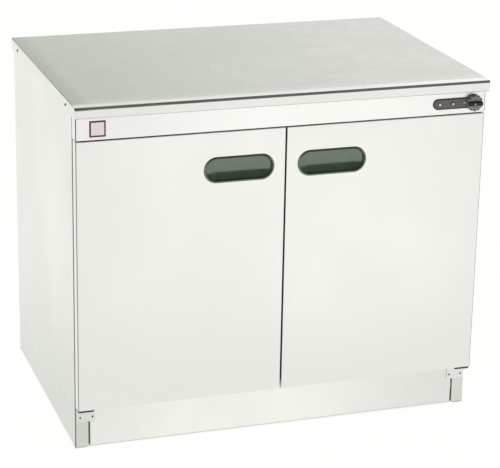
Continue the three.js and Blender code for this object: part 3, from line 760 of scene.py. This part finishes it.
def worktop():
    """A tray with a round front edge past a slight fall, tight side folds and welded corners."""
    lo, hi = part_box("worktop")
    nosing, edge, corner, hem = mm(11, 2.6, 3, 1.8)
    rounds = {"-y+z": nosing, "-x+z": edge, "+x+z": edge, "+y+z": edge, "-y-z": hem,
              "-x-y": corner, "+x-y": corner, "-x+y": corner, "+x+y": corner}
    slab = rounded_box(lo, hi, rounds, 8)
    fall, run = math.radians(5), 16 * MM
    shave(slab, (0, lo.y + nosing + run, hi.z), (0, -math.sin(fall), math.cos(fall)))
    tray = build("worktop_tray", opened(slab, "-z"), TOP, CASING_X, HEM_SHADE, TOP_EDGE_HIGHLIGHT)
    paint(tray, 0, lambda normal: True)
    paint(tray, 1, lambda normal: normal.z < 0.05 and normal.y < 0.9)
    # The slight fall at the front takes the bright steel: a painted highlight.
    paint(tray, 3, lambda normal: normal.y < 0 and abs(normal.z - math.cos(fall)) < 1e-4)
    # Downward faces and the top's side roundings take the dark steel: painted shade.
    paint(tray, 2, lambda normal: normal.z < -0.05 or (normal.z > 0.2 and abs(normal.x) > 0.2))
    stand_for(thicken(tray), "worktop")
    places = [(x, hi.y, SCREW_Z) for x in mm(-420, -140, 140, 420)]
    screws("worktop_screws_rear", places, BACK)


def fascia():
    lo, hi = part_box("fascia_panel")
    rounds = dict.fromkeys(("-x-y", "+x-y", "-y+z", "-y-z"), BEND)
    # The rounded edges take the dark fold steel: painted shade.
    tray = build("fascia_sheet", opened(rounded_box(lo, hi, rounds), "+y", "+z"), FASCIA, FOLD)
    stand_for(thicken(tray), "fascia_panel")


def back_panel():
    """A lipped panel with a hole for the gland and a row of screws down each side."""
    lo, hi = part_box("back_panel")
    sheet = channel("back_panel", lo.y, CASING, FOLD_X)
    outlet_radius, reach, inset = mm(7.8, 5, 12)
    centre = extent("cable_gland")[2]
    outlet = turn_to(drill(outlet_radius, reach), BACK, (centre.x, hi.y, centre.z))
    stand_for(pierce(sheet, outlet), "back_panel")
    places = [(x, hi.y, z) for x in (lo.x + inset, hi.x - inset) for z in mm(70, 320, 580, 830)]
    screws("back_panel_screws", places, BACK)


def rails_and_plinth():
    stand_for(channel("plinth_panel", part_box("plinth_panel")[1].y, PLINTH, FOLD_X), "plinth_panel")
    lo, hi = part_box("header_rail")
    front, low = lo.y + SHEET / 2, lo.z + SHEET / 2
    path = [(hi.y, low), (front, low), (front, hi.z)]
    fold_for("header_rail", "sheet", path, (lo.x, hi.x), ALONG_X, CASING_X, FOLD_X)


def feet():
    """Square pads with a plug that goes up into the casing."""
    thick, chamfer, inset, corner, tight = mm(2.7, 0.7, 4, 3, 2)
    for node in (f"foot_{end}_{side}" for end in ("front", "rear") for side in SIDES):
        size = extent(node)[3]
        wide, height = size.x, size.z
        pad = layered([*terraced(wide, wide, tight, [(chamfer, 0)]), (wide, wide, corner, chamfer),
                       (wide, wide, corner, thick)])
        outline = [(inset, thick - chamfer), (inset, height - 2 * chamfer), (1.5 * inset, height)]
        plug = layered(terraced(wide, wide, tight, outline))
        install(node, "block", joined([pad, plug]), UP, NYLON)


def badge():
    """A plain enamelled square with a raised dark border."""
    size, border, corner = extent("badge_plate")[3], 4 * MM, MM
    wide, thick = size.x, size.y
    outline = [(0, 0), (0, 0.7 * thick), (0.3 * MM, thick), (border, thick), (1.1 * border, 0.6 * thick)]
    plate = layered(terraced(wide, wide, corner, outline), bands=(0, 0, 0, 1, 1))
    stand_for(build("badge_face_plate", seated(plate, "badge_plate", FRONT), MAROON, PINK), "badge_plate")


# ---------- heated cavity


def slots(lo, hi, count_x, count_y, level):
    """Cutters for warm air slots between two corners, alternate rows half a step across."""
    length, width, reach = mm(26, 6, 4)
    group = []
    step_x, step_y = (hi.x - lo.x) / count_x, (hi.y - lo.y) / count_y
    for row in range(count_y):
        shift = 0.25 if row % 2 else -0.25
        for column in range(count_x):
            place = (lo.x + (column + 0.5 + shift) * step_x, lo.y + (row + 0.5) * step_y, level)
            group.append(turn_to(prism(length, width, width / 2, -reach, reach, 3), UP, place))
    return joined(group)


def pressed(node, axes, margin, recess):
    """A flat sheet with a shallow panel pressed into it away from the side that its axes face."""
    _, _, middle, size = extent(node)
    width, height, depth = (abs(size.dot(axis)) for axis in axes)
    corner, bend = mm(3, 18)
    rings = [(width, height, corner, 0)]
    for number, level in enumerate((0, -0.3 * recess, -recess)):
        rings += terraced(width, height, bend - number * MM, [(margin + number * recess, level)])
    bm = turn_to(layered(rings, open_below=True), axes, middle + axes[2] * depth / 2)
    return thicken(build(node + "_sheet", bm, LINER))


def liners():
    """The cavity's sides, floor, back and roof, with holes for the element and the probe."""
    flange, reach = mm(14, 9)
    for side, sign in SIDES.items():
        node = f"cavity_liner_{side}"
        lo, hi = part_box(node)
        wall, front = (lo.x + hi.x) / 2, lo.y + SHEET / 2
        path = [(wall + sign * flange, front), (wall, front), (wall, hi.y)]
        fold_for(node, "sheet", path, (lo.z, hi.z), UP, LINER)

    lo, hi, middle, _ = extent("heating_element")
    node, element_radius, hole_radius = "cavity_liner_back", 4 * MM, 6 * MM
    holes = [turn_to(drill(hole_radius, reach), FRONT, (x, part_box(node)[0].y, middle.z))
             for x in (lo.x + element_radius, hi.x - element_radius)]
    stand_for(pierce(pressed(node, FRONT, 60 * MM, 3 * MM), joined(holes)), node)

    entry = (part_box("thermostat_probe")[1].x - MM, 250 * MM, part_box("cavity_roof")[0].z)
    hole = turn_to(drill(5 * MM, reach), UP, entry)
    stand_for(pierce(pressed("cavity_roof", DOWN, 45 * MM, 3 * MM), hole), "cavity_roof")

    lo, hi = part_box("cavity_floor")
    front, level = lo.y + SHEET / 2, hi.z - SHEET / 2
    path = [(front, lo.z), (front, level), (hi.y, level)]
    fold_for("cavity_floor", "sheet", path, (lo.x, hi.x), ALONG_X, LINER)


def slotted_tray(node, lip, margin_x, margin_y, count_x, count_y):
    """A sheet with its front and rear edges folded down, and warm air slots inside a plain margin."""
    lo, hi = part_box(node)
    front, rear, level = lo.y + SHEET / 2, hi.y - SHEET / 2, hi.z - SHEET / 2
    path = [(front, level - lip), (front, level), (rear, level), (rear, level - lip)]
    sheet = build_folded(node, "sheet", path, (lo.x, hi.x), ALONG_X, LINER)
    margin = Vector((margin_x, margin_y, 0))
    stand_for(pierce(sheet, slots(lo + margin, hi - margin, count_x, count_y, level)), node)


def shelf():
    """The perforated shelf and the two angles that it lies on."""
    slotted_tray("shelf", extent("shelf")[3].z - SHEET / 2, 50 * MM, 45 * MM, 16, 13)
    thick, from_end, from_foot = mm(2, 30, 8)
    for side, sign in SIDES.items():
        node = f"shelf_rail_{side}"
        lo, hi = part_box(node)
        outer, inner = outer_inner(side, node)
        wall, top = outer - sign * thick / 2, hi.z - thick / 2
        path = [(lo.z, wall), (top, wall), (top, inner)]
        fold_for(node, "angle", path, (lo.y, hi.y), ALONG_Y, LINER, thick=thick)
        depths = (lo.y + from_end, (lo.y + hi.y) / 2, hi.y - from_end)
        places = [(wall - sign * thick / 2, y, lo.z + from_foot) for y in depths]
        screws(f"shelf_rail_screws_{side}", places, INWARD[side], 2.6 * MM)


def heating():
    """A bent element in four legs, on a strap, under a slotted cover."""
    lo, hi, middle, size = extent("heating_element")
    radius, level = size.z / 2, middle.z
    first, last = lo.x + radius, hi.x - radius
    bend = (last - first) / 6
    behind_turn, steps = 150 * MM, 24
    front, rear = lo.y + radius + bend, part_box("cavity_liner_back")[0].y - behind_turn
    halfway = (hi.y + front) / 2
    points = [(first, hi.y, level), (first, halfway, level)]
    for number, (y, way) in enumerate(((front, -1), (rear, 1), (front, -1))):
        x = first + (2 * number + 1) * bend
        for angle in (math.pi * (1 - k / steps) for k in range(steps + 1)):
            points.append((x + bend * math.cos(angle), y + way * bend * math.sin(angle), level))
    points += [(last, halfway, level), (last, hi.y, level)]
    stand_for(build("heating_element_tube", bar(points, radius), SHEATH), "heating_element")

    lo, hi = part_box("element_rest")
    thick, foot, step, gap = mm(2, 50, 16, 0.5)
    low, saddle = lo.z + thick / 2, level - radius - thick / 2 - gap
    end = hi.x - thick / 2
    half = [(saddle, end - foot - step), (low, end - foot), (low, end), (hi.z, end)]
    path = [(level, -x) for level, x in half[::-1]] + half
    fold_for("element_rest", "strap", path, (lo.y, hi.y), ALONG_Y, LINER, thick=thick)
    slotted_tray("element_cover", 9 * MM, 40 * MM, 35 * MM, 16, 12)


def insulation(node, coarse=28 * MM, rear_inset=3.5 * MM, pocket=None):
    """A mineral wool slab with an uneven skin, just inside its frame node, with room for a pocket."""
    lo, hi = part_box(node)
    inset, ripple, waves = 3.5 * MM, 2.2 * MM, 40
    lo, hi = lo + Vector((inset,) * 3), hi - Vector((inset, rear_inset, inset))
    bm, size = block(lo, hi), hi - lo
    for axis in range(3):
        edges = [e for e in bm.edges if abs((e.verts[0].co - e.verts[1].co)[axis]) > 0.9 * size[axis]]
        cuts = max(1, round(size[axis] / coarse))
        bmesh.ops.subdivide_edges(bm, edges=edges, cuts=cuts, use_grid_fill=True)
    for vert in bm.verts:
        vert.co += noise.noise_vector(vert.co * waves) * ripple
    slab = build(node + "_wool", bm, WOOL)
    if pocket:
        pierce(slab, pocket)
    stand_for(slab, node, crease=80)


# ---------- doors

CUP_INSET = 5 * MM  # rim, before the recess starts


def soft_minimum(first, second, spread):
    """The smaller of two depths, with the change from one to the other rounded."""
    return -spread * math.log(math.exp(-first / spread) + math.exp(-second / spread))


def recess_depth(u, v, half_width, half_height):
    """Depth of the finger recess: steep walls round a trough that is shallower at its ends.

    The trough has a face that slopes back to a crease, and another that rises to the lower rim.
    """
    wall_slope, upper_slope, lower_slope = 3.2, 0.27, 0.62
    full_depth, ends_from, ends_lose = 19 * MM, 0.45, 0.6
    spine = max(0.0, abs(u) - (half_width - half_height))
    inset = half_height - math.hypot(spine, v)
    to_end = max(0.0, abs(u) / half_width - ends_from) / (1 - ends_from)
    above_crease = v + 0.24 * half_height
    deepest = full_depth * (1 - ends_lose * to_end ** 2)
    upper, lower = deepest - above_crease * upper_slope, deepest + above_crease * lower_slope
    wall = MM + (inset - CUP_INSET) * wall_slope
    return soft_minimum(wall, soft_minimum(upper, lower, 3.2 * MM), 0.9 * MM)


def handle_cup(side):
    """A finger recess with a rolled rim over the skin's opening."""
    node = f"handle_cup_{side}"
    _, _, middle, size = extent(node)
    width, height = size.x, size.z
    rim = [mm(0, 0), mm(0.1, 0.4), mm(1, 1.2), mm(2.2, 1.9), mm(3.4, 2.5), mm(4.5, 3), mm(4.8, 2.7),
           (CUP_INSET, -MM)]
    count, crowding, bowl_level = 22, 1.15, -2 * MM
    reach = height / 2 - CUP_INSET - 0.2 * MM
    bowl = [(CUP_INSET + reach * (k / count) ** crowding, bowl_level) for k in range(1, count + 1)]
    bm = layered(terraced(width, height, height, rim + bowl), steps=20, open_below=True)
    for vert in bm.verts:
        if vert.co.z < 0.75 * bowl_level:
            vert.co.z = -recess_depth(vert.co.x, vert.co.y, width / 2, height / 2)
    turn_to(bm, FRONT, (middle.x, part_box(f"door_skin_{side}")[0].y, middle.z))
    stand_for(thicken(build(node + "_moulding", bm, GREEN), 1.2 * MM), node, crease=60)


def door(side):
    """The skin with its opening, the cup, the wool and the liner with its screws."""
    node = f"door_skin_{side}"
    lo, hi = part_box(node)
    corner, overlap = 1.2 * MM, 2.5 * MM
    rounds = dict.fromkeys(("-x-y", "+x-y", "-y+z", "-y-z"), BEND)
    rounds |= dict.fromkeys(("-x+z", "+x+z", "-x-z", "+x-z"), corner)
    # The door's folds take the dark door steel as painted shade, and only the outer fold keeps it.
    skin = build(node + "_sheet", opened(rounded_box(lo, hi, rounds), "+y"), DOOR, DOOR_EDGE_SHADE)
    paint(skin, 0, lambda normal: normal.x * SIDES[side] < 0)
    thicken(skin)
    _, _, middle, cup = extent(f"handle_cup_{side}")

    def opening(inset, depth):
        rings = terraced(cup.x, cup.z, cup.z, [(inset, -depth), (inset, depth)])
        return turn_to(layered(rings, 20), FRONT, (middle.x, lo.y, middle.z))

    stand_for(pierce(skin, opening(overlap, 9 * MM)), node)
    handle_cup(side)
    insulation(f"door_insulation_{side}", 40 * MM, 11 * MM, opening(0, 50 * MM))

    node = f"door_liner_{side}"
    stand_for(pressed(node, BACK, 38 * MM, 6 * MM), node)
    lo, hi, middle, _ = extent(node)
    from_side, from_end = 14 * MM, 100 * MM
    heights = (lo.z + from_end, middle.z, hi.z - from_end)
    places = [(x, hi.y, z) for x in (lo.x + from_side, hi.x - from_side) for z in heights]
    screws(f"door_liner_screws_{side}", places, BACK, 2.6 * MM, body=f"{side}_door")


def strike_plate(side):
    node, corner, edge = f"strike_plate_{side}", 2.5 * MM, 0.4 * MM
    width, thick, height = extent(node)[3]
    rings = terraced(width, height, corner, [(0, 0), (0, 0.7 * thick)])
    rings += terraced(width, height, corner - 0.3 * MM, [(edge, thick)])
    install(node, "blank", layered(rings), BACK, ZINC)


def catch(side):
    """A nylon body with two steel poles at its front and two screws from below."""
    node = f"magnetic_catch_{side}"
    lo, hi, middle, (width, depth, height) = extent(node)
    edge, corner = MM, 2 * MM
    outline = [(0, 0), (0, depth - 3 * edge), (0.5 * edge, depth - 2 * edge)]
    install(node, "body", layered(terraced(width, height, corner, outline)), FRONT, BLACK_NYLON)
    pole = (width - 14 * MM, 1.6 * MM, 0.4 * MM, 0, depth)
    poles = [turn_to(prism(*pole), FRONT, (middle.x, hi.y, middle.z + z)) for z in (-3 * MM, 3 * MM)]
    finish(build(f"catch_poles_{side}", joined(poles), ZINC), "cabinet")
    places = [(middle.x + x, middle.y, lo.z) for x in (-15 * MM, 15 * MM)]
    screws(f"catch_screws_{side}", places, DOWN, 2.4 * MM)


# ---------- hinges


def bracket(node, side, sheet, folds):
    """A folded angle: an upright plate against the carcass and a ledge that holds the pin."""
    lo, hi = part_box(node)
    thick, bend, spare = mm(2.4, 4, 12)
    plate, low = hi.y - thick / 2, "lower" in node
    ledge, plate_end = (hi.z - thick / 2, lo.z) if low else (lo.z + thick / 2, hi.z)
    path = [(lo.y, ledge), (plate, ledge), (plate, plate_end)]
    angle = build_folded(node, "angle", path, (lo.x, hi.x), ALONG_X, sheet, folds, thick=thick, bend=bend)
    outer, inner = outer_inner(side, node)
    front = hi.y - thick
    notch = prism(2 * spare, 2 * (front - lo.y), 0, lo.z - MM, hi.z + MM)
    stand_for(pierce(angle, turn_to(notch, UP, (inner, lo.y, 0))), node)
    if low:
        places = [(outer - SIDES[side] * x, front, 84 * MM) for x in mm(8.5, 40.5)]
        screws(f"hinge_screws_{side}", places, FRONT, 2.6 * MM, DARK_STEEL)


def pin(node, axes):
    """A shank with a wider head at its foot."""
    size, (head, shank, edge) = extent(node)[3], mm(3, 4, 0.6)
    radius, length = size.x / 2, size.z
    profile = [(0, 0), (radius - edge, 0), (radius, edge), (radius, head), (shank, head),
               (shank, length - edge), (shank - edge, length), (0, length)]
    install(node, "turned", turned(profile, 28), axes, ZINC)


def bush(node, axes):
    """A sleeve for a pin. The upper ones have room for a flange at their foot."""
    size, (sleeve, bore, edge, flange) = extent(node)[3], mm(7, 4.3, 0.4, 1.4)
    radius, length = (size.x / 2 if "upper" in node else sleeve), size.z
    step = [(radius, flange), (sleeve, flange)] if "upper" in node else []
    profile = [(bore, 0), (radius - edge, 0), (radius, edge), *step, (sleeve, length), (bore, length)]
    install(node, "turned", turned(profile, 28, closed=True), axes, BLACK_NYLON)


def hinge_pad(side):
    """The dark bearing pad that the door turns on."""
    node, edge, corner = f"hinge_pad_{side}", 0.5 * MM, 3 * MM
    width, depth, height = extent(node)[3]
    outline = [(edge, 0), (0, edge), (0, height - edge), (edge, height)]
    install(node, "block", layered(terraced(width, depth, corner, outline)), UP, BLACK_NYLON)


def hinges():
    for side in SIDES:
        bracket(f"hinge_bracket_lower_{side}", side, PLATE, FOLD_X)
        bracket(f"hinge_bracket_upper_{side}", side, ZINC, ZINC)
        pin(f"hinge_pin_lower_{side}", UP)
        pin(f"hinge_pin_upper_{side}", DOWN)
        bush(f"hinge_bush_lower_{side}", UP)
        bush(f"hinge_bush_upper_{side}", DOWN)
        hinge_pad(side)


# ---------- controls and supply


def bezel():
    """A dark plate with a raised border, a window, and a printed tick where the knob starts."""
    _, hi, middle, (width, thick, height) = extent("control_bezel")
    floor = 0.8 * thick
    border = [(0, 0), (0, 0.6 * thick), (0.9 * MM, thick), (2.6 * MM, thick), (3.1 * MM, floor)]
    plate = layered(terraced(width, height, height, border), 14, bands=(0, 0, 0, 0, 1))
    install("control_bezel", "plate", plate, FRONT, CHARCOAL, GREY_PLASTIC)
    face = hi.y - floor
    window = layered([mm(15, 9, 1.5, -0.2), mm(14.4, 8.4, 1.2, 0.35)])
    turn_to(window, FRONT, (459.5 * MM, face, middle.z))
    finish(build("control_window", window, GREY_PLASTIC), "cabinet")
    tick = layered([mm(7, 2, 0.5, -0.2), mm(6.8, 1.8, 0.5, 0.15)])
    turn_to(tick, FRONT, (472 * MM, face, middle.z + 0.5 * MM))
    finish(build("knob_tick", tick, PRINT), "cabinet")


def knob():
    """A scalloped skirt with a bar across it, a pale spot on the bar that is a painted highlight, and ticks
    on the skirt.
    """
    lo, hi, middle, size = extent("control_knob")
    radius, grip_depth = size.x / 2, 9 * MM
    rise = size.y - grip_depth
    (edge, scallop), lobes = mm(1.2, 2.6), 12
    dish = rise - 0.6 * edge
    profile = [(0, 0), (radius - edge, 0, 1), (radius, edge, 1), (radius, rise - 2 * edge, 1),
               (radius - 0.4 * edge, rise - 0.7 * edge, 1), (radius - edge, rise - 0.2 * edge, 1),
               (radius - 2.2 * edge, rise, 0.7), (radius - 4 * edge, dish, 0), (0, dish)]
    skirt = turned(profile, 10 * lobes, lobes, scallop)
    install("control_knob", "skirt", skirt, FRONT, KNOB_GREY, crease=50)

    length, width, corner = mm(38, 10, 3)
    top = rise + grip_depth
    rings = [(length, width + 2 * MM, corner, rise - 2 * MM), (length, width, corner, rise + 2 * MM),
             (length - MM, width - MM, corner, top - 1.5 * MM),
             (length - 3 * MM, width - 3 * MM, corner - MM, top)]
    grip = turn_to(layered(rings, 8), FRONT, (middle.x - MM, hi.y, middle.z))
    finish(build("knob_grip", grip, GRIP), "knob", crease=50)

    # A pale spot on the bar: a painted highlight.
    spot = turned([mm(0, -1), mm(3, -1), mm(3, 0), mm(2.2, 0.35), mm(0, 0.5)], 24)
    turn_to(spot, FRONT, (middle.x - 4 * MM, lo.y, middle.z))
    finish(build("knob_highlight_spot", spot, SPOT_HIGHLIGHT), "knob")

    marks = []
    from_axis, places = 13.5 * MM, 16
    for angle in (math.tau * k / places for k in range(places) if k % 8 not in (0, 1, 7)):
        mark = layered([(*mm(3.4, 1.1, 0.3), rise - MM), (*mm(3.2, 0.9, 0.2), rise - 0.55 * MM)], 2)
        mark.transform(Matrix.Rotation(angle, 4, "Z") @ Matrix.Translation((from_axis, 0, 0)))
        marks.append(mark)
    marks = seated(joined(marks), "control_knob", FRONT)
    finish(build("knob_marks", marks, PRINT), "knob")


def spindle():
    size, (foot, tip) = extent("control_spindle")[3], mm(0.5, 0.8)
    radius, length = size.x / 2, size.y
    profile = [(0, 0), (radius - foot, 0), (radius, foot), (radius, length - MM), (radius - tip, length),
               (0, length)]
    install("control_spindle", "shaft", turned(profile, 24), FRONT, ZINC)


def lamp(node, collar_sides, lens_radius, collar):
    """A collar round a small domed lens, with its barrel behind."""
    _, hi, middle, _ = extent(node)
    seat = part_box("control_bezel")[0].y
    depth = hi.y - seat
    barrel, collar_radius, rise, sunk = mm(3.6, 5.6, 1.7, 1)
    profile = [(0, -depth), (barrel, -depth), (barrel, 0), (collar_radius, 0), (collar_radius, sunk),
               (collar_radius - 0.7 * MM, rise), (lens_radius, rise), (lens_radius, sunk), (0, sunk)]
    ring = turn_to(turned(profile, collar_sides), FRONT, (middle.x, seat, middle.z))
    stand_for(build(node + "_collar", ring, collar), node, crease=30)
    foot, dome_height, steps = 0.9 * MM, 2.4 * MM, 8
    angles = [math.pi / 2 * k / steps for k in range(steps)]
    dome = [(lens_radius * math.cos(a), foot + dome_height * math.sin(a)) for a in angles]
    glass = turned([(0, 0), *dome, (0, foot + dome_height)], 28)
    turn_to(glass, FRONT, (middle.x, seat, middle.z))
    finish(build(node + "_dome", glass, CLEAR), "cabinet")


def thermostat():
    """A ceramic body with a metal cap."""
    size, corner = extent("thermostat_body")[3], 3 * MM
    case, cap = (size.x, size.z, corner), (size.x - 6 * MM, size.z - 4 * MM, corner)
    rings = [(*case, 0), (*case, 0.55 * size.y), (*cap, 0.6 * size.y), (*cap, size.y)]
    body = seated(layered(rings, bands=(0, 0, 1, 1)), "thermostat_body", FRONT)
    stand_for(build("thermostat_case", body, CERAMIC, ZINC), "thermostat_body")


def terminals():
    """A ceramic block with a screw in each of three wells."""
    _, hi, middle, size = extent("terminal_block")
    spacing, well_depth = 18 * MM, 6 * MM
    base, ridge = (size.x, size.y, 2 * MM), (size.x - 4 * MM, size.y - 8 * MM, 3 * MM)
    rings = [(*base, 0), (*base, 0.6 * size.z), (*ridge, 0.62 * size.z), (*ridge, size.z)]
    body = build("terminal_block_body", seated(layered(rings), "terminal_block", UP), CERAMIC)
    tops = [Vector((middle.x + x, middle.y, hi.z)) for x in (-spacing, 0, spacing)]
    wells = joined([turn_to(drill(3.6 * MM, well_depth, 20), UP, top) for top in tops])
    stand_for(pierce(body, wells), "terminal_block")
    screws("terminal_screws", [top - Z * (well_depth - MM) for top in tops], UP, 2.8 * MM)


def gland():
    """A hexagon and a ribbed dome nut, with an open bore for the supply cable."""
    lo, hi, middle, _ = extent("cable_gland")
    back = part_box("back_panel")[1].y
    bore, reach = 5.5 * MM, hi.y - back
    hexagon = turned([mm(5.5, 0.3), mm(13, 0.3), mm(13, 7), mm(12, 8), mm(5.5, 8)], 6, closed=True)
    nut, seat, ribs = 10.4 * MM, 7.5 * MM, 16
    profile = [(bore, seat), (nut, seat, 1), (nut, reach - 7 * MM, 1), (9.8 * MM, reach - 4 * MM, 0.6),
               (8.4 * MM, reach - MM), (7 * MM, reach), (bore, reach)]
    dome = turned(profile, 6 * ribs, ribs, 0.9 * MM, closed=True)
    inside, thread_radius = lo.y - back, 7.4 * MM
    thread = turned([(bore, inside), (thread_radius, inside), (thread_radius, MM), (bore, MM)], closed=True)
    body = turn_to(joined([hexagon, dome, thread]), BACK, (middle.x, back, middle.z))
    stand_for(build("cable_gland_body", body, BLACK_NYLON), "cable_gland", crease=30)


def probe():
    """The sensing bulb and its capillary are the frame node itself, in its own material."""
    node = frame["nodes"]["thermostat_probe"]
    node.data.materials.clear()
    node.data.materials.append(ZINC)


# ---------- assembly

add_camera()
add_world()
add_floor()
add_key_light()

for side in SIDES:
    side_panel(side)
    door(side)
    strike_plate(side)
    catch(side)
    insulation(f"insulation_{side}")
worktop()
fascia()
back_panel()
rails_and_plinth()
feet()
badge()
liners()
shelf()
heating()
hinges()
bezel()
knob()
spindle()
lamp("lamp_power", 6, 2.8 * MM, GREY_PLASTIC)
lamp("lamp_heat", 28, 2.5 * MM, RED)
thermostat()
terminals()
gland()
probe()
